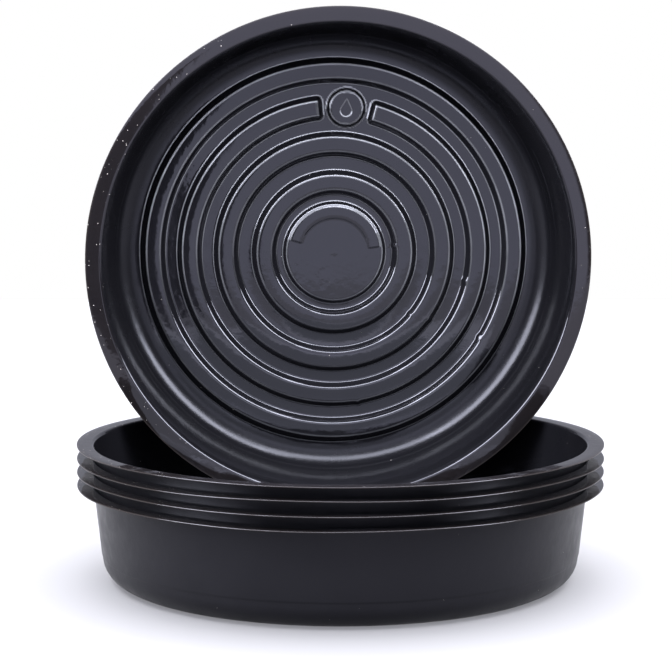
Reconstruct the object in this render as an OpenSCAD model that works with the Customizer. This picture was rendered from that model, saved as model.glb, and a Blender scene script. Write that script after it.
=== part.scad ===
// A set of five identical one-piece plastic plant saucers (drip trays): four nested in a stack,
// and the fifth stood on its rim inside the top one, with its opening to the front (-Y).
// Millimetres, +Z up, origin on the ground at the centre of the stack.

/* [Saucer] */
// Diameter over the flat rim
rim_diameter = 305; // [300:1:310]
// Height from the resting face to the top of the rim
saucer_height = 56; // [54:0.5:57]
// Thickness of the formed plastic sheet
sheet = 0.6; // [0.5:0.05:0.65]
// Width of the flat part of the rim
rim_width = 8.1; // [7:0.1:9]
// Radius of the round between the wall and the rim
rim_round = 2; // [1.5:0.1:2.5]
// Slope of the wall, in degrees away from upright
wall_draft = 6.2; // [6.2:0.1:6.6]
// Inside radius of the round between the floor and the wall
floor_round = 13.4; // [12:0.1:14]
// Height above the resting face of the shallow ledge round the wall
ledge_height = 15; // [14.5:0.5:25]
// Width that the ledge adds to the wall's radius
ledge_width = 0.3; // [0.1:0.05:0.4]

/* [Ribs on the floor] */
// Height of the floor between the ribs above the resting ring round it
groove_height = 0.8; // [0.5:0.1:1]
// Height of the ribs above the floor between them
rib_height = 3.8; // [3.4:0.1:4]
// Height of the centre disc and of the badge's boss above the floor between the ribs
disc_height = 2.6; // [2.2:0.1:3]
// Horizontal run of a rib's sloping side
rib_slope = 3.3; // [3.1:0.1:3.6]
// Radius of the rounds along the top edges of the ribs
rib_round = 2; // [1.6:0.1:2.2]
// Radius of the rounds along the feet of the ribs
foot_round = 1.4; // [1.2:0.1:1.6]
// Radius of the raised centre disc
disc_radius = 31.2; // [30.8:0.1:31.6]
// Width of each ring-shaped rib, from the middle of one sloping side to the other
rib_width = 12.4; // [12:0.1:12.8]
// Outer radius of the innermost rib
first_rib_radius = 50.2; // [49.8:0.1:50.6]
// Outer radius of the next rib
second_rib_radius = 74; // [73.6:0.1:74.4]
// Distance from that rib to the third, and from the third to the fourth
rib_spacing = 22.7; // [22.5:0.1:22.8]

/* [Badge on the third rib] */
// Radius of the raised round boss that carries the badge
boss_radius = 11.3; // [10.5:0.1:11.5]
// Distance from the boss's centre to the cut ends of the third rib
rib_end_distance = 16; // [15.5:0.5:20]
// Radius of the round part of the water-drop badge
drop_radius = 3.6; // [2.5:0.1:4]
// Depth of the badge in the boss
drop_depth = 0.25; // [0.15:0.05:0.3]

/* [Arc on the centre disc] */
// Inner radius of the raised arc
arc_radius = 21.6; // [18:0.2:23]
// Angle that the arc covers
arc_sweep = 156; // [90:1:180]
// Height of the arc above the disc
arc_height = 0.4; // [0.2:0.1:0.6]

/* [Arrangement] */
// Height from one nested saucer to the next
nest_pitch = 7.75; // [7.7:0.05:8]
// How far behind the stack's centre the standing saucer's rim is
standing_back = 48.5; // [47:0.5:48.5]
// Height of the standing rim's lowest point above the floor between the ribs that it stands in
standing_lift = 1.5; // [1.5:0.1:3]
// Forward lean of the standing saucer, in degrees
standing_lean = 2.7; // [2.4:0.1:3]
// Turn of the standing saucer about the vertical, in degrees
standing_turn = 3.9; // [3:0.1:4.2]
// Roll of the standing saucer about its own axis, in degrees
standing_roll = 4.5; // [0:0.5:10]

/* [Hidden] */
saucer_colour = [0.13, 0.13, 0.14];
rim_radius = rim_diameter / 2;
// Heights of the inner face, from the resting ring up to the tops of the ribs
floor_top = sheet;
groove_top = floor_top + groove_height;
disc_top = groove_top + disc_height;
rib_top = groove_top + rib_height;
// The ring-shaped ribs are numbered from 0 at the centre; the one numbered 2 is cut open for the boss
plain_ribs = [0, 1, 3];
broken_rib = 2;
last_rib = 3;
// Radius at which the sloping wall would meet the top of the rim
wall_radius = rim_radius - rim_width - rim_round * tan((90 - wall_draft) / 2);
// Largest turn of one straight step of a round, in degrees
arc_step = 16;
// Height of the ledge's sloping face
ledge_rise = 1;
// Depth to which the solids that are cut from each other reach below the floor
root_depth = 2;
// Overlap that keeps joined solids from meeting only at a face
overlap = 0.4;

// Radius of the wall's inner face at height z, above the ledge
function wall_at(z) = wall_radius - (saucer_height - z) * tan(wall_draft);
function rib_outer(i) = i == 0 ? first_rib_radius : second_rib_radius + (i - 1) * rib_spacing;
function rib_inner(i) = rib_outer(i) - rib_width;
function rib_middle(i) = rib_outer(i) - rib_width / 2;

// Unit vector from a to b, and a vector turned a quarter turn to the left
function unit(a, b) = (b - a) / norm(b - a);
function left(v) = [-v[1], v[0]];
function turned(v, a) = [v[0] * cos(a) - v[1] * sin(a), v[0] * sin(a) + v[1] * cos(a)];

// A path is a list of [radius, height, round]. These are its points, moved sideways by shift
// (to the left of the way it runs), with each corner made into an arc of its own round.
function end_point(at, way, shift) = at + left(way) * shift;
function corner(before, at, after, round, shift) =
    let (
        u = unit(before, at),
        v = unit(at, after),
        side = sign(cross(u, v)),
        turn = acos(u * v),
        centre = at - u * round * tan(turn / 2) + left(u) * side * round,
        steps = ceil(turn / arc_step)
    )
    [for (i = [0:steps])
        centre - left(turned(u, side * turn * i / steps)) * side * (round - side * shift)];
function flat(p) = [p[0], p[1]];
function path(stops, shift) =
    let (n = len(stops), p = [for (s = stops) flat(s)])
    concat(
        [end_point(p[0], unit(p[0], p[1]), shift)],
        [for (i = [1:n - 2]) each corner(p[i - 1], p[i], p[i + 1], stops[i][2], shift)],
        [end_point(p[n - 1], unit(p[n - 2], p[n - 1]), shift)]
    );

// Horizontal run of a sloping side of this height; all of them have the same slope
function run(height) = rib_slope * height / rib_height;
// One sloping side centred on radius r, going down from top to foot, or up from foot to top, as r grows
function step_down(r, top, foot) = [
    [r - run(top - foot) / 2, top, rib_round],
    [r + run(top - foot) / 2, foot, foot_round]
];
function step_up(r, foot, top) = [
    [r - run(top - foot) / 2, foot, foot_round],
    [r + run(top - foot) / 2, top, rib_round]
];
// Both sides of a rib, from the floor between the ribs up, and down to the height beyond
function rib_steps(i, beyond) = concat(
    step_up(rib_inner(i), groove_top, rib_top),
    step_down(rib_outer(i), rib_top, beyond)
);

// The saucer's inner face from its centre out to the radius reach on the rim
function saucer_path(reach) = concat(
    [[0, disc_top, 0]],
    step_down(disc_radius, disc_top, groove_top),
    [for (i = plain_ribs) each rib_steps(i, i == last_rib ? floor_top : groove_top)],
    [
        [wall_at(floor_top) - ledge_width, floor_top, floor_round],
        [wall_at(ledge_height) - ledge_width, ledge_height, rim_round],
        [wall_at(ledge_height + ledge_rise), ledge_height + ledge_rise, rim_round],
        [wall_radius, saucer_height, rim_round],
        [reach, saucer_height, 0]
    ]
);
// The same for the third rib, and for the boss
reach_out = rib_slope / 2 + foot_round;
function broken_rib_path() = concat(
    [[rib_inner(broken_rib) - reach_out, groove_top, 0]],
    rib_steps(broken_rib, groove_top),
    [[rib_outer(broken_rib) + reach_out, groove_top, 0]]
);
function boss_path() = concat(
    [[0, disc_top, 0]],
    step_down(boss_radius, disc_top, groove_top),
    [[boss_radius + reach_out, groove_top, 0]]
);

// A path closed downwards to the height low
function closed(points, low) = concat(points, [[points[len(points) - 1][0], low], [points[0][0], low]]);

module turn_shape(points, sweep = 360) {
    rotate_extrude(angle = sweep, $fn = 180) polygon(points);
}

// The third rib, from one cut end to the other, with setback taken off each end
module broken_rib_below(shift, setback) {
    half_gap = asin((rib_end_distance + setback) / rib_middle(broken_rib));
    rotate([0, 0, 90 + half_gap])
        turn_shape(closed(path(broken_rib_path(), shift), groove_top + shift - overlap), 360 - 2 * half_gap);
}

module boss_below(shift) {
    translate([0, rib_middle(broken_rib), 0])
        turn_shape(closed(path(boss_path(), shift), groove_top + shift - overlap));
}

// All the space below the inner face (shift 0), or below the outer face (shift -sheet)
module space_below(shift, reach, depth) {
    turn_shape(closed(path(saucer_path(reach), shift), -depth));
    broken_rib_below(shift, -shift);
    boss_below(shift);
}

// Raised arc along the back edge of the centre disc
module disc_arc() {
    arc_width = disc_radius - run(disc_height) / 2 - rib_round / 2 - arc_radius;
    rotate([0, 0, 90 - arc_sweep / 2])
        rotate_extrude(angle = arc_sweep, $fn = 180)
            translate([arc_radius, disc_top - overlap])
                square([arc_width, overlap + arc_height]);
}

// Plain water drop: a circle and the two tangents from a point above it
module drop() {
    tip = 2.1 * drop_radius;
    touch = acos(drop_radius / tip);
    circle(r = drop_radius, $fn = 48);
    polygon([
        [0, tip],
        drop_radius * [-sin(touch), cos(touch)],
        [0, 0],
        drop_radius * [sin(touch), cos(touch)]
    ]);
}

module badge() {
    translate([0, rib_middle(broken_rib) - drop_radius / 2, disc_top - drop_depth])
        linear_extrude(1) drop();
}

module saucer() {
    color(saucer_colour)
        difference() {
            union() {
                space_below(0, rim_radius, root_depth / 2);
                disc_arc();
            }
            space_below(-sheet, rim_radius + 1, root_depth);
            badge();
        }
}

// The saucer at place i of the stack, counted from 0 at the bottom
module nested_saucer(i) {
    translate([0, 0, i * nest_pitch]) saucer();
}

module bottom_saucer() { nested_saucer(0); }
module second_saucer() { nested_saucer(1); }
module third_saucer() { nested_saucer(2); }
module top_saucer() { nested_saucer(3); }

module standing_saucer() {
    stand_height = 3 * nest_pitch + groove_top + standing_lift;
    translate([0, standing_back, stand_height + rim_radius * cos(standing_lean)])
        rotate([90 + standing_lean, 0, standing_turn])
            rotate([0, 0, -standing_roll])
                translate([0, 0, -saucer_height])
                    saucer();
}

bottom_saucer();
second_saucer();
third_saucer();
top_saucer();
standing_saucer();
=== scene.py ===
"""Five round plant saucers in glossy black sheet: four nested, and one stood on its rim in the top one.

Each saucer is one closed mesh of rows and columns round its axis, with its ribs, boss, badge and small
forming faults as real geometry.
"""

import functools
import math

import bpy
import numpy as np
from mathutils import Matrix, Vector


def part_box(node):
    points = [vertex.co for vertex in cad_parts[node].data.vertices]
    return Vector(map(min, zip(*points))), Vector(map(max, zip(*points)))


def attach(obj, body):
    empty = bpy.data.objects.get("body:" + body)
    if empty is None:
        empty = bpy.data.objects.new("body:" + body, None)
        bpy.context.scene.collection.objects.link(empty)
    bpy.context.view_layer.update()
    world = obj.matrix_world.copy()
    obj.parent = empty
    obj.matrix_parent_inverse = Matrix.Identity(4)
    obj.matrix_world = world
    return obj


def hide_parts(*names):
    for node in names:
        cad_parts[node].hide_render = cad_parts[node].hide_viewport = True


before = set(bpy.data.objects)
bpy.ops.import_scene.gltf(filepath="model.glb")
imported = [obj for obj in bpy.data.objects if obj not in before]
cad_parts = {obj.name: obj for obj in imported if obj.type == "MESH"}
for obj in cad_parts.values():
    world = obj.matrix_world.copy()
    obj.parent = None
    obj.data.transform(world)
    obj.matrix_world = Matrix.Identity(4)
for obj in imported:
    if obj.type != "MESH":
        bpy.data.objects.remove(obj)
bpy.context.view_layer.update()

MM = 0.001

# ---------------------------------------------------------------- sizes, in millimetres
# They are the CAD source's, except that the ribs' rounds are larger and the badge is deeper.
RIM_RADIUS = 152.5
HEIGHT = 56.0
SHEET = 0.6
RIM_WIDTH = 8.1
RIM_ROUND = 2.0
WALL_DRAFT = math.radians(6.2)
FLOOR_ROUND = 13.4
LEDGE_HEIGHT, LEDGE_RISE, LEDGE_WIDTH = 15.0, 1.0, 0.3
GROOVE_HEIGHT, RIB_HEIGHT, DISC_HEIGHT = 0.8, 3.8, 2.6
RIB_SLOPE, RIB_ROUND, FOOT_ROUND = 3.3, 2.3, 1.8
DISC_RADIUS = 31.2
RIB_WIDTH, FIRST_RIB, SECOND_RIB, RIB_SPACING = 12.4, 50.2, 74.0, 22.7
PLAIN_RIBS, BROKEN_RIB, LAST_RIB = (0, 1, 3), 2, 3
BOSS_RADIUS, RIB_END, RIB_END_ROUND = 11.3, 16.0, 1.7
DROP_RADIUS, DROP_DEPTH = 3.6, 0.4
ARC_RADIUS, ARC_SWEEP, ARC_HEIGHT, ARC_ROUND = 21.6, 156.0, 0.4, 0.5
LEAN, TURN, ROLL = math.radians(2.7), math.radians(3.9), math.radians(4.5)

# What forming adds, and the CAD source leaves out
RIB_CROWN = 0.3  # how much the middle of a rib's top is higher than its edges
MOULD_POINT_HEIGHT, MOULD_POINT_RADIUS = 0.07, 1.6  # raised point at the centre of the disc
FLOOR_WAVE, RIM_WAVE, WALL_WAVE = 0.03, 0.28, 0.05  # waves of the floor, the rim's height and the wall
# Where the sheet caught on the mould: radius of the edge, angle in degrees, size, width in degrees
SNAGS = [
    (107.0, -26.0, 0.9, 0.9),
    (84.3, -8.0, 0.6, 1.0),
    (37.8, 11.0, 0.9, 2.2),
    (96.7, -76.5, 0.8, 0.8),
    (61.6, -34.8, 0.5, 1.2),
    (74.0, -31.0, 0.6, 1.1),
]
SNAG_REACH = 3.0  # how far a snag reaches to each side of its edge

FLOOR_TOP = SHEET
GROOVE_TOP = FLOOR_TOP + GROOVE_HEIGHT
DISC_TOP = GROOVE_TOP + DISC_HEIGHT
RIB_TOP = GROOVE_TOP + RIB_HEIGHT
SLOPE_ANGLE = math.atan2(RIB_HEIGHT, RIB_SLOPE)
WALL_RADIUS = RIM_RADIUS - RIM_WIDTH - RIM_ROUND * math.tan((math.pi / 2 - WALL_DRAFT) / 2)
FLOOR_EDGE = 123.2  # radius at which the floor's height field hands over to the wall's path


def rib_outer(i):
    return FIRST_RIB if i == 0 else SECOND_RIB + (i - 1) * RIB_SPACING


BOSS_AT = rib_outer(BROKEN_RIB) - RIB_WIDTH / 2


def wall_at(z):
    """Radius of the wall's inner face at height z, above the ledge."""
    return WALL_RADIUS - (HEIGHT - z) * math.tan(WALL_DRAFT)


def run(height):
    """Horizontal run of a sloping side of this height."""
    return RIB_SLOPE * height / RIB_HEIGHT


# ---------------------------------------------------------------- paths with rounded corners
def left_of(v):
    return np.array([-v[1], v[0]])


def rotated(v, a):
    return np.array([v[0] * math.cos(a) - v[1] * math.sin(a), v[0] * math.sin(a) + v[1] * math.cos(a)])


def rounded(stops, arc_steps, spacing):
    """Points and left-hand normals along a path of (x, y, round) stops."""
    p = [np.array(s[:2], float) for s in stops]
    way = [(b - a) / np.linalg.norm(b - a) for a, b in zip(p[:-1], p[1:])]
    points, normals = [p[0]], [left_of(way[0])]

    def straight_to(q, v):
        start = points[-1]
        n = int(np.linalg.norm(q - start) // spacing)
        for k in range(1, n + 1):
            points.append(start + (q - start) * k / (n + 1))
            normals.append(left_of(v))

    for i in range(1, len(p) - 1):
        u, v, r = way[i - 1], way[i], stops[i][2]
        side = np.sign(u[0] * v[1] - u[1] * v[0])
        turn = math.acos(max(-1, min(1, float(u @ v))))
        centre = p[i] - u * r * math.tan(turn / 2) + left_of(u) * side * r
        steps = arc_steps(turn)
        for k in range(steps + 1):
            t = rotated(u, side * turn * k / steps)
            q = centre - left_of(t) * side * r
            if k == 0:
                straight_to(q, u)
            points.append(q)
            normals.append(left_of(t))
    straight_to(p[-1], way[-1])
    points.append(p[-1])
    normals.append(left_of(way[-1]))
    return np.array(points), np.array(normals)


@functools.cache
def step_curve(shift, top, foot):
    """Height against distance outwards from the middle of a sloping side, moved by shift along its normal."""
    far, half = 9.0, run(top - foot) / 2
    stops = [(-far, top, 0), (-half, top, RIB_ROUND), (half, foot, FOOT_ROUND), (far, foot, 0)]
    p, n = rounded(stops, lambda turn: 24, 0.5)
    q = p + n * shift
    return q[np.argsort(q[:, 0])]


# ---------------------------------------------------------------- the floor as a height field
def fade(d, half):
    """1 well inside a shape (d below -half), 0 outside it, with a smooth side between."""
    t = np.clip(0.5 - d / (2 * half), 0, 1)
    return t * t * (3 - 2 * t)


def band_distance(r, turned, middle, width, half_angle, rounding, inside):
    """Distance outside a band of a ring that ends at half_angle from turned = 0.

    With inside 1 the band is within half_angle, and with inside -1 it is beyond it.
    """
    across = np.abs(r - middle) - width / 2
    past = r * np.sin(np.clip(turned - half_angle, -1.2, 1.2)) * inside
    a, b = across + rounding, past + rounding
    return np.hypot(np.maximum(a, 0), np.maximum(b, 0)) + np.minimum(np.maximum(a, b), 0) - rounding


def drop_distance(x, y):
    """Distance outside a water drop: a circle with its two tangents from a point above it."""
    tip = 2.1 * DROP_RADIUS
    x = np.abs(x)
    to_circle = np.hypot(x, y) - DROP_RADIUS
    s = DROP_RADIUS / tip
    c = math.sqrt(1 - s * s)
    along = (tip - y) * c + x * s  # distance from the tip along the tangent
    beside = x * c - (tip - y) * s
    flank = np.where(along < 0, np.hypot(x, y - tip), beside)
    above = (y > x * math.tan(math.asin(s))) & (along < tip * c)
    return np.where(above, np.maximum(flank, -DROP_RADIUS), to_circle)


def rib_distance(r, turned, angle):
    """Distance outside the nearest rib, measured from the middle of its sloping side."""
    d = np.full_like(r, 99.0)
    for i in PLAIN_RIBS:
        d = np.minimum(d, np.abs(r - rib_outer(i) + RIB_WIDTH / 2) - RIB_WIDTH / 2)
    half_gap = math.asin(RIB_END / BOSS_AT)
    d = np.minimum(d, band_distance(r, turned, BOSS_AT, RIB_WIDTH, half_gap, RIB_END_ROUND, -1))
    for radius, at, size, width in SNAGS:
        off = (np.degrees(angle) - at + 180) % 360 - 180
        d = d - size * np.exp(-((off / width) ** 2)) * np.exp(-(((r - radius) / SNAG_REACH) ** 2))
    return d


def marks(r, turned, x, y):
    """Height of the arc, the badge and the centre point; x and y are measured from the boss."""
    outer = DISC_RADIUS - run(DISC_HEIGHT) / 2 - RIB_ROUND / 2
    middle, width = (ARC_RADIUS + outer) / 2, outer - ARC_RADIUS
    arc = band_distance(r, turned, middle, width, math.radians(ARC_SWEEP / 2), ARC_ROUND, 1)
    drop = drop_distance(x, y + DROP_RADIUS / 2)
    on_boss = np.hypot(x, y) < BOSS_RADIUS - 1.3
    point = MOULD_POINT_HEIGHT * np.exp(-((r / MOULD_POINT_RADIUS) ** 2))
    return ARC_HEIGHT * fade(arc, 0.5) - DROP_DEPTH * fade(drop, 0.3) * on_boss + point


def floor_height(r, angle, shift, wave):
    """Height of the inner face (shift 0) or of the outer face (shift -SHEET) of the floor."""

    def side(d, top, foot):
        return np.interp(d, *step_curve(shift, top, foot).T)

    turned = np.abs(np.radians((np.degrees(angle) - 90 + 180) % 360 - 180))
    x, y = r * np.cos(angle), r * np.sin(angle)
    d = rib_distance(r, turned, angle)
    crown = RIB_CROWN * np.sin(np.clip(-d / (RIB_WIDTH / 2), 0, 1) * math.pi / 2)
    beyond = r > rib_outer(LAST_RIB) - RIB_WIDTH / 2
    last_side = side(r - rib_outer(LAST_RIB), RIB_TOP, FLOOR_TOP)
    z = np.where(beyond, last_side, side(d, RIB_TOP, GROOVE_TOP)) + crown
    disc = side(r - DISC_RADIUS, DISC_TOP, GROOVE_TOP)
    boss = side(np.hypot(x, y - BOSS_AT) - BOSS_RADIUS, DISC_TOP, GROOVE_TOP)
    z = np.where(beyond, z, np.maximum(z, np.maximum(disc, boss)))
    if shift == 0:
        z = z + marks(r, turned, x, y - BOSS_AT)
    return z + wave(x, y) * np.clip(r / 20, 0, 1)


# ---------------------------------------------------------------- where the mesh has its rows and columns
def merge(values, least):
    """The values in order, without those that follow another one by less than least."""
    kept = []
    for v in sorted(values):
        if not kept or v - kept[-1] >= least:
            kept.append(v)
    return np.array(kept)


def columns():
    """Angles of the columns, closest at the badge, at the ends of the arc and at the snags."""
    boss_reach, badge_reach = 14, 3.2
    coarse = [v for v in np.arange(0, 360, 2.0) if not 90 - boss_reach < v < 90 + boss_reach]
    boss = list(np.arange(90 - boss_reach + 0.5, 90 + boss_reach - 0.49, 0.45))
    badge = list(np.arange(90 - badge_reach, 90 + badge_reach + 0.01, 0.2))
    ends = [90 + s * (ARC_SWEEP / 2 + k) for s in (-1, 1) for k in (-2, -1, -0.5, 0, 0.5, 1, 2)]
    snags = [at + k * width * 0.6 for _, at, _, width in SNAGS for k in range(-3, 4)]
    return np.radians(merge(coarse + boss + badge + ends + [v % 360 for v in snags], 0.19))


def edge_rows(radius, outwards, height, per_arc):
    """Rows across one sloping side: closely spaced round its two rounds."""
    half = run(height) / 2
    offsets = []
    for vertex, rounding, sign in ((-half, RIB_ROUND, 1), (half, FOOT_ROUND, -1)):
        shoulder = rounding * math.tan(SLOPE_ANGLE / 2)
        for k in range(per_arc):
            turn = SLOPE_ANGLE * k / (per_arc - 1)
            offsets.append(vertex + sign * (rounding * math.sin(turn) - shoulder))
    return [radius + outwards * o for o in offsets]


def floor_rows(per_arc, boss_spacing, marked):
    """Radii of the floor's rows, which are closer where the face is marked."""
    rows = [4.0, 10.0, 16.0, 20.0]
    if marked:
        rows += [0.8, 1.6, 2.6]  # centre point
        rows += [ARC_RADIUS + k for k in (-0.5, -0.25, 0, 0.25, 0.5)]
        rows += [24.5, 27.0, 28.4, 28.8]  # outer edge of the arc
        rows += list(np.arange(BOSS_AT - 6.4, BOSS_AT + 6.8, 0.3))  # badge
    rows += edge_rows(DISC_RADIUS, 1, DISC_HEIGHT, per_arc)
    for i in range(LAST_RIB + 1):
        beyond = RIB_HEIGHT + (GROOVE_HEIGHT if i == LAST_RIB else 0)
        inner = rib_outer(i) - RIB_WIDTH
        rows += edge_rows(inner, -1, RIB_HEIGHT, per_arc)
        rows += edge_rows(rib_outer(i), 1, beyond, per_arc)
        rows += [rib_outer(i) - RIB_WIDTH * k for k in (0.3, 0.5, 0.7)] + [inner - 5]
    rows += list(np.arange(BOSS_AT - 14.5, BOSS_AT + 14.6, boss_spacing))
    kept = merge([v for v in rows if v < FLOOR_EDGE - 0.5], 0.2 if marked else 0.35)
    return np.append(kept, FLOOR_EDGE)


def wall_path(spacing, degrees_per_step):
    """Points and normals of the inner face from the edge of the floor to the edge of the rim."""
    stops = [
        (FLOOR_EDGE, FLOOR_TOP, 0),
        (wall_at(FLOOR_TOP) - LEDGE_WIDTH, FLOOR_TOP, FLOOR_ROUND),
        (wall_at(LEDGE_HEIGHT) - LEDGE_WIDTH, LEDGE_HEIGHT, RIM_ROUND),
        (wall_at(LEDGE_HEIGHT + LEDGE_RISE), LEDGE_HEIGHT + LEDGE_RISE, RIM_ROUND),
        (WALL_RADIUS, HEIGHT, RIM_ROUND),
        (RIM_RADIUS - 0.2, HEIGHT, 0),
    ]

    def arc_steps(turn):
        return max(2, round(math.degrees(turn) / degrees_per_step))

    return rounded(stops, arc_steps, spacing)


def waves(rng, count, shortest, longest, height):
    """A smooth random surface: a sum of plane waves of these lengths in mm."""
    length = rng.uniform(shortest, longest, count)
    heading, phase = rng.uniform(0, 2 * math.pi, (2, count))
    size = height * rng.uniform(0.5, 1.0, count) * length / longest

    def at(x, y):
        z = np.zeros_like(x)
        for one_length, h, p, s in zip(length, heading, phase, size):
            z = z + s * np.sin(2 * math.pi / one_length * (x * math.cos(h) + y * math.sin(h)) + p)
        return z

    return at


def ring_wave(rng, orders, height):
    """A smooth random function of the angle round the saucer."""
    size = {k: height * rng.uniform(0.4, 1.0) / math.sqrt(len(orders)) for k in orders}
    phase = {k: rng.uniform(0, 2 * math.pi) for k in orders}
    return lambda a: sum(size[k] * np.sin(k * a + phase[k]) for k in orders)


def saucer_grid(seed):
    """Rows x columns of points of one saucer, from the centre of the inner face to that of the outer face.

    Seed 0 is the saucer without waves.
    """
    rng = np.random.default_rng(seed)
    angle = columns()
    waved = 1.0 if seed else 0.0
    wave = waves(rng, 9, 22, 70, FLOOR_WAVE * waved)
    rim_wave = ring_wave(rng, range(2, 8), RIM_WAVE * waved)
    wall_wave = ring_wave(rng, range(2, 6), WALL_WAVE * waved)
    rows = []

    def floor(shift, radii):
        for r in radii:
            z = floor_height(np.full_like(angle, r), angle, shift, wave)
            rows.append(np.stack([r * np.cos(angle), r * np.sin(angle), z], 1))

    def wall(points):
        for r, z in points:
            up = max(0.0, (z - 10) / (HEIGHT - 10))
            reach = r + wall_wave(angle) * min(1.0, max(0.0, r - FLOOR_EDGE) / 15)
            lift = rim_wave(angle) * up**3
            rows.append(np.stack([reach * np.cos(angle), reach * np.sin(angle), z + lift], 1))

    floor(0, floor_rows(per_arc=6, boss_spacing=0.8, marked=True))
    p, _ = wall_path(spacing=6, degrees_per_step=7)
    wall(p[1:])
    cut_edge = ((0.06, 0.05), (0, 0.2), (0, SHEET - 0.15), (0.06, SHEET - 0.02))
    wall([(RIM_RADIUS - inwards, HEIGHT - down) for inwards, down in cut_edge])
    p, n = wall_path(spacing=8, degrees_per_step=11)
    wall((p - n * SHEET)[::-1][:-1])
    floor(-SHEET, floor_rows(per_arc=3, boss_spacing=2.5, marked=False)[::-1])
    return np.array(rows)


# ---------------------------------------------------------------- meshes
# radii between which the rounded edges of the ribs get a painted highlight
EDGE_HIGHLIGHT_RADII = (0.0285, 0.1225)  # in metres: from the disc's edge to the last rib's foot


def paint_edge_highlight(me, points):
    """Store a painted highlight for the rounded edges of the ribs, from the tilt of the surface."""
    normals = np.empty(len(points) * 3)
    me.vertex_normals.foreach_get("vector", normals)
    tilt = np.degrees(np.arccos(np.clip(normals[2::3], -1, 1)))
    reach = np.hypot(points[:, 0], points[:, 1])
    outwards = normals[0::3] * points[:, 0] + normals[1::3] * points[:, 1] > 0
    edge = fade(13 - tilt, 5) * fade(tilt - 34, 6)  # tilted 13 to 34 degrees
    # painted highlight: full on edges that face outwards, 0.3 on those that face inwards
    edge_highlight_amount = edge * (reach > EDGE_HIGHLIGHT_RADII[0]) * (reach < EDGE_HIGHLIGHT_RADII[1]) * np.where(outwards, 1.0, 0.3)
    me.attributes.new("painted_edge_highlight", "FLOAT", "POINT").data.foreach_set("value", edge_highlight_amount)


def material_slots(grid):
    """0 for the faces of the inner face and 1 for those after the rim's edge, which are the outer face."""
    rows, cols = grid.shape[:2]
    edge_row = int(np.argmax(np.hypot(grid[:, 0, 0], grid[:, 0, 1]).round(3)))
    slots = np.zeros((rows + 1) * cols, np.int32)
    slots[edge_row * cols : (rows - 1) * cols] = 1
    slots[rows * cols :] = 1
    return slots


def build_mesh(name, grid):
    """A closed skin over the rows and columns, with a fan at each end, in metres."""
    rows, cols = grid.shape[:2]
    ends = grid[0].mean(0) * [0, 0, 1], grid[-1].mean(0) * [0, 0, 1]
    points = np.vstack([grid.reshape(-1, 3), *ends]) * MM
    i = np.arange(rows - 1)[:, None] * cols
    j = np.arange(cols)
    k = (j + 1) % cols
    quads = np.stack(np.broadcast_arrays(i + j, i + cols + j, i + cols + k, i + k), -1).reshape(-1, 4)
    first_end, last_end, last = rows * cols, rows * cols + 1, (rows - 1) * cols
    first_fan = np.stack([np.full(cols, first_end), j, k], 1)
    last_fan = np.stack([np.full(cols, last_end), last + k, last + j], 1)
    me = bpy.data.meshes.new(name)
    me.from_pydata(points.tolist(), [], quads.tolist() + first_fan.tolist() + last_fan.tolist())
    me.shade_smooth()
    me.update()
    me.polygons.foreach_set("material_index", material_slots(grid))
    paint_edge_highlight(me, points)
    return me


# ---------------------------------------------------------------- materials
class Nodes:
    """Short names for building one node tree."""

    def __init__(self, tree):
        self.tree = tree

    def add(self, kind, inputs=(), **settings):
        node = self.tree.nodes.new(kind)
        for key, value in settings.items():
            setattr(node, key, value)
        for key, value in dict(inputs).items():
            if isinstance(value, bpy.types.NodeSocket):
                self.tree.links.new(value, node.inputs[key])
            else:
                node.inputs[key].default_value = value
        return node

    def math(self, operation, a, b=0.0, c=0.0, clamp=False):
        inputs = {0: a, 1: b, 2: c}
        return self.add("ShaderNodeMath", inputs, operation=operation, use_clamp=clamp).outputs[0]

    def product(self, first, *others):
        for other in others:
            first = self.math("MULTIPLY", first, other)
        return first

    def ramp(self, value, low, high, out_low=0.0, out_high=1.0):
        limits = {"From Min": low, "From Max": high, "To Min": out_low, "To Max": out_high}
        inputs = {"Value": value, **limits}
        node = self.add("ShaderNodeMapRange", inputs, interpolation_type="SMOOTHSTEP", clamp=True)
        return node.outputs["Result"]

    def noise(self, vector, scale, detail=2.0, roughness=0.5, distortion=0.0):
        inputs = {"Vector": vector, "Scale": scale, "Detail": detail}
        inputs |= {"Roughness": roughness, "Distortion": distortion}
        return self.add("ShaderNodeTexNoise", inputs).outputs["Fac"]

    def colours(self, fac, a, b):
        return self.add("ShaderNodeMix", {0: fac, 6: a, 7: b}, data_type="RGBA").outputs[2]

    def bump(self, height, distance, normal=None):
        inputs = {"Strength": 1.0, "Distance": distance, "Height": height}
        if normal:
            inputs["Normal"] = normal
        return self.add("ShaderNodeBump", inputs).outputs[0]


# Radii in metres over which one zone of the sheet blends into the next
FLOOR_TO_ROUND = (0.1215, 0.1265)
ROUND_TO_WALL = (0.1335, 0.1365)
WALL_TO_RIM = (0.1415, 0.1440)
RIM = (0.1425, 0.1445)
CUT_EDGE = (0.1514, 0.1523)


def sheet_colour(n, coord, radius, rim):
    """Black, a little brown where the thin stretched sheet of the rim lets light through."""
    cloud = n.noise(coord, 35.0, 3.0)
    black = n.colours(cloud, (0.0026, 0.0026, 0.0034, 1), (0.0040, 0.0039, 0.0048, 1))
    brown = n.colours(cloud, (0.0036, 0.0029, 0.0030, 1), (0.0056, 0.0042, 0.0040, 1))
    base = n.colours(n.product(rim, 0.6), black, brown)
    return n.colours(n.product(n.ramp(radius, *CUT_EDGE), 0.6), base, (0.018, 0.015, 0.014, 1))


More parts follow.
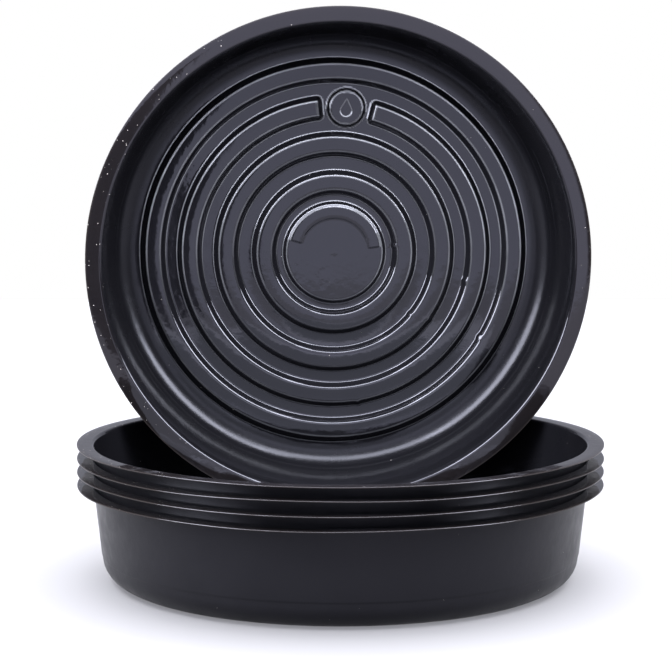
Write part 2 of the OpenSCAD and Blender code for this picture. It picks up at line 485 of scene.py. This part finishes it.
def edge_highlight_amount(n, coord, radius, y):
    """Strength of the painted highlight on the ribs' edges: more towards +y, the badge's side, and far from
    the centre.
    """
    return n.product(
        n.add("ShaderNodeAttribute", attribute_name="painted_edge_highlight").outputs["Fac"],
        n.ramp(n.noise(coord, 30.0, 3.0, 0.6), 0.3, 0.7, 0.6, 1.0),
        n.ramp(y, -0.06, 0.08, 0.1, 1.0),
        n.ramp(radius, 0.06, 0.10, 0.4, 1.0),
    )


def dust(n, coord, x, rim):
    """1 on small specks, which are thicker in patches on the rim and at its left."""
    inputs = {"Vector": coord, "Scale": 520.0, "Randomness": 1.0}
    cells = n.add("ShaderNodeTexVoronoi", inputs, feature="F1")
    size = n.ramp(n.noise(coord, 1400.0, 0.0), 0.35, 0.75, 0.03, 0.15)
    speck = n.math("LESS_THAN", cells.outputs["Distance"], size)
    chosen = n.add("ShaderNodeSeparateColor", {0: cells.outputs["Color"]}).outputs[0]
    patch = n.ramp(n.noise(coord, 22.0, 2.0), 0.45, 0.7)
    left = n.product(n.ramp(x, -0.07, -0.125), 2.5)
    patch = n.math("MULTIPLY_ADD", patch, n.math("ADD", left, 0.5), left)
    share = n.math("MULTIPLY_ADD", n.product(patch, rim), 0.15, 0.008)
    return n.product(speck, n.math("LESS_THAN", chosen, share))


def roughness(n, coord, stretched, speck, gloss):
    """Cloudy, duller where the sheet is stretched, with fine hairline scuffs in places."""
    low, high = (0.05, 0.11) if gloss else (0.32, 0.42)
    rough = n.ramp(n.noise(coord, 60.0, 4.0, 0.6), 0.3, 0.72, low, high)
    rough = n.math("MULTIPLY_ADD", stretched, 0.18 if gloss else 0.0, rough)
    inputs = {"Vector": coord, "Rotation": (0.0, 0.0, 0.7), "Scale": (1.0, 14.0, 1.0)}
    drawn_out = n.add("ShaderNodeMapping", inputs).outputs[0]
    hair = n.ramp(n.noise(drawn_out, 420.0, 3.0, 0.7, 0.6), 0.66, 0.78)
    where = n.ramp(n.noise(coord, 18.0, 2.0), 0.5, 0.68)
    rough = n.math("ADD", rough, n.product(hair, where, 0.16))
    return n.math("ADD", rough, n.product(speck, 0.4), clamp=True)


def relief(n, coord, stretched, speck, gloss):
    """Soft orange peel of the formed sheet, a fine grain, and the height of the dust."""
    normal = n.bump(n.noise(coord, 170.0, 2.0, 0.45), 0.00008 if gloss else 0.00009)
    depth = n.math("MULTIPLY_ADD", stretched, 0.00001, 0.0000022) if gloss else 0.000012
    normal = n.bump(n.noise(coord, 1500.0, 2.0, 0.6), depth, normal)
    return n.bump(speck, 0.00003, normal)


def plastic(name, gloss):
    """Black sheet: the glossy inner face (gloss 1) or the satin outer face (gloss 0)."""
    mat = bpy.data.materials.new(name)
    mat.use_nodes = True
    mat.node_tree.nodes.clear()
    n = Nodes(mat.node_tree)
    coord = n.add("ShaderNodeTexCoord").outputs["Object"]
    x, y, _ = n.add("ShaderNodeSeparateXYZ", {0: coord}).outputs
    radius = n.math("SQRT", n.math("ADD", n.product(x, x), n.product(y, y)))
    rim = n.ramp(radius, *RIM)
    stretched = n.math("SUBTRACT", n.ramp(radius, *FLOOR_TO_ROUND), n.ramp(radius, *ROUND_TO_WALL))
    wall = n.math("SUBTRACT", n.ramp(radius, *ROUND_TO_WALL), n.ramp(radius, *WALL_TO_RIM))

    speck = dust(n, coord, x, rim)
    # painted highlight: the rounded edges of the ribs are mixed towards pale blue-grey
    base = n.colours(edge_highlight_amount(n, coord, radius, y), sheet_colour(n, coord, radius, rim), (0.420, 0.425, 0.460, 1))
    base = n.colours(speck, base, (0.34, 0.31, 0.29, 1))
    shine = n.math("MULTIPLY_ADD", stretched, -0.24, 0.46)
    shine = n.math("MULTIPLY_ADD", wall, -0.26, shine) if gloss else 0.20
    inputs = {
        "Base Color": base,
        "Roughness": roughness(n, coord, stretched, speck, gloss),
        "Normal": relief(n, coord, stretched, speck, gloss),
        "IOR": 1.5,
        "Specular IOR Level": shine,
        "Specular Tint": (0.87, 0.865, 1.0, 1),
    }
    shader = n.add("ShaderNodeBsdfPrincipled", inputs)
    n.add("ShaderNodeOutputMaterial", {"Surface": shader.outputs[0]})
    return mat


def matt(name, colour, **inputs):
    """A plain material for the studio's own surfaces."""
    mat = bpy.data.materials.new(name)
    mat.use_nodes = True
    shader = mat.node_tree.nodes["Principled BSDF"]
    shader.inputs["Base Color"].default_value = (*colour, 1)
    for key, value in inputs.items():
        shader.inputs[key.replace("_", " ")].default_value = value
    return mat


# ---------------------------------------------------------------- the five saucers
def link(obj):
    bpy.context.scene.collection.objects.link(obj)
    return obj


upright = Matrix.Rotation(math.pi / 2 + LEAN, 4, "X")
standing_turn = Matrix.Rotation(TURN, 4, "Z") @ upright @ Matrix.Rotation(-ROLL, 4, "Z")
plain_points = saucer_grid(0).reshape(-1, 3) * MM


def placed(node, rotation):
    """The matrix that puts a saucer, built about its own axis on its resting face, where the CAD node is."""
    points = plain_points @ np.array(rotation.to_3x3()).T
    centre = Vector((points.min(0) + points.max(0)) / 2)
    lo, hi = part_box(node)
    return Matrix.Translation((lo + hi) / 2 - centre) @ rotation


inside = plastic("black_gloss_inside", 1)
outside = plastic("black_satin_outside", 0)
SAUCERS = ["bottom_saucer", "second_saucer", "third_saucer", "top_saucer", "standing_saucer"]
saucer_pieces = []
for seed, node in enumerate(SAUCERS, 1):
    mesh = build_mesh(node + "_sheet", saucer_grid(seed))
    mesh.materials.append(inside)
    mesh.materials.append(outside)
    piece = link(bpy.data.objects.new(node + "_sheet", mesh))
    piece.matrix_world = placed(node, standing_turn if node == "standing_saucer" else Matrix.Identity(4))
    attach(piece, node)
    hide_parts(node)
    saucer_pieces.append(piece)


# ---------------------------------------------------------------- studio
def sheet(name, corners, material):
    """A flat four-sided piece of the studio."""
    mesh = bpy.data.meshes.new(name)
    mesh.from_pydata(corners, [], [(0, 1, 2, 3)])
    mesh.materials.append(material)
    return link(bpy.data.objects.new(name, mesh))


def receivers(name, objects):
    """The only objects that a light lights."""
    group = bpy.data.collections.new(name)
    for obj in objects:
        group.objects.link(obj)
    return group


def softbox(name, at, aim, width, height, radiance, colour, lit):
    light = bpy.data.lights.new(name, "AREA")
    light.shape = "RECTANGLE"
    light.size, light.size_y = width, height
    light.energy = radiance * math.pi * width * height
    light.color = colour
    obj = link(bpy.data.objects.new(name, light))
    obj.location = at
    obj.rotation_euler = (Vector(aim) - Vector(at)).to_track_quat("-Z", "Y").to_euler()
    obj.visible_camera = False
    obj.light_linking.receiver_collection = lit
    return obj


def soft_sun(name, strength, tilt):
    light = bpy.data.lights.new(name, "SUN")
    light.energy, light.angle = strength, math.radians(100)
    obj = link(bpy.data.objects.new(name, light))
    obj.rotation_euler = (math.radians(tilt), 0.0, 0.0)
    obj.visible_glossy = False
    return obj


FLOOR_REACH, FLOOR_FRONT = 1.7, 0.78
CENTRE = (0.0, 0.05, 0.18)  # the middle of the standing saucer, more or less
KEY_DISTANCE = 1.25
COLD = (0.92, 0.95, 1.0)


def toward(heading, elevation):
    """A lamp's place from CENTRE at this heading (0 to the front, positive to the right) and elevation."""
    h, e = math.radians(heading), math.radians(elevation)
    x, y, z = math.sin(h) * math.cos(e), -math.cos(h) * math.cos(e), math.sin(e)
    return (CENTRE[0] + KEY_DISTANCE * x, CENTRE[1] + KEY_DISTANCE * y, CENTRE[2] + KEY_DISTANCE * z)


white_paper = matt("white_paper", (0.302, 0.302, 0.326), Roughness=0.9, Specular_IOR_Level=0.1)
corners = [(-1, -FLOOR_FRONT), (1, -FLOOR_FRONT), (1, FLOOR_REACH), (-1, FLOOR_REACH)]
floor = sheet("floor", [(side * FLOOR_REACH, y, 0) for side, y in corners], white_paper)

# the softboxes light only the saucers; the paper has a soft light of its own
lit = receivers("lit_by_softboxes", saucer_pieces)
softbox("key_right", toward(66, 38), CENTRE, 0.55, 1.25, 28.0, COLD, lit)
softbox("key_left", toward(-62, 32), CENTRE, 0.8, 1.2, 27.0, COLD, lit)
softbox("key_top", toward(0, 54), CENTRE, 1.3, 0.5, 20.0, COLD, lit)
soft_sun("ceiling", 7.2, -15)
fill = soft_sun("paper_fill", 5.7, 0)
fill.data.use_shadow = False
fill.light_linking.receiver_collection = receivers("lit_by_paper_fill", [floor])


def studio_world(back_level, front_level, all_round):
    """Grey walls for the reflections: one behind, a bright one in front, and white for the camera."""
    world = bpy.data.worlds.new("studio")
    world.use_nodes = True
    world.node_tree.nodes.clear()
    n = Nodes(world.node_tree)
    x, y, z = n.add("ShaderNodeSeparateXYZ", {0: n.add("ShaderNodeTexCoord").outputs["Generated"]}).outputs
    back = n.product(n.ramp(y, -0.1, 0.3), n.ramp(z, 0.25, 0.85, 1.0, 0.0))
    front = n.product(
        n.ramp(x, -0.66, -0.5),
        n.ramp(x, 0.36, 0.5, 1.0, 0.0),
        n.ramp(y, -0.6, -0.35, 1.0, 0.0),
        n.ramp(z, 0.5, 0.62, 1.0, 0.0),
    )
    level = n.math("ADD", n.product(back, back_level), n.product(front, front_level))
    level = n.math("ADD", level, all_round)
    tone = n.add("ShaderNodeBackground", {"Color": (0.84, 0.86, 1.0, 1), "Strength": level})
    white = n.add("ShaderNodeBackground", {"Color": (1, 1, 1, 1), "Strength": 1.0})
    seen = n.add("ShaderNodeLightPath").outputs["Is Camera Ray"]
    mixed = n.add("ShaderNodeMixShader", {0: seen, 1: tone.outputs[0], 2: white.outputs[0]})
    n.add("ShaderNodeOutputWorld", {0: mixed.outputs[0]})
    return world


bpy.context.scene.world = studio_world(back_level=0.35, front_level=2.0, all_round=0.10)

# a dark card left of the camera, which only reflections see
corners = [(-0.62, 0.001), (-0.055, 0.001), (-0.055, 0.29), (-0.62, 0.29)]
dark_felt = matt("dark_felt", (0.10, 0.10, 0.12))
card = sheet("dark_card", [(x, -0.55, z) for x, z in corners], dark_felt)
card.visible_camera = card.visible_diffuse = card.visible_shadow = False

# a small lamp in the top saucer's bowl, which lights only the standing saucer's lower floor
facing = receivers("lit_by_bowl_lamp", saucer_pieces[-1:])
softbox("bowl_lamp", (0.0, -0.03, 0.069), (0.0, 0.05, 0.069), 0.244, 0.078, 1.2, (0.86, 0.90, 1.0), facing)

camera_data = bpy.data.cameras.new("camera")
camera_data.lens, camera_data.sensor_width = 109.492, 36.0
camera_data.clip_start, camera_data.clip_end = 0.05, 60.0
camera = link(bpy.data.objects.new("camera", camera_data))
camera.location = (-0.00256, -1.17688, 0.27105)
camera.rotation_euler = (math.radians(90 - 6.3713), 0.0, 0.0)
bpy.context.scene.camera = camera
bpy.context.scene.view_settings.view_transform = "Standard"
bpy.context.scene.view_settings.look = "None"
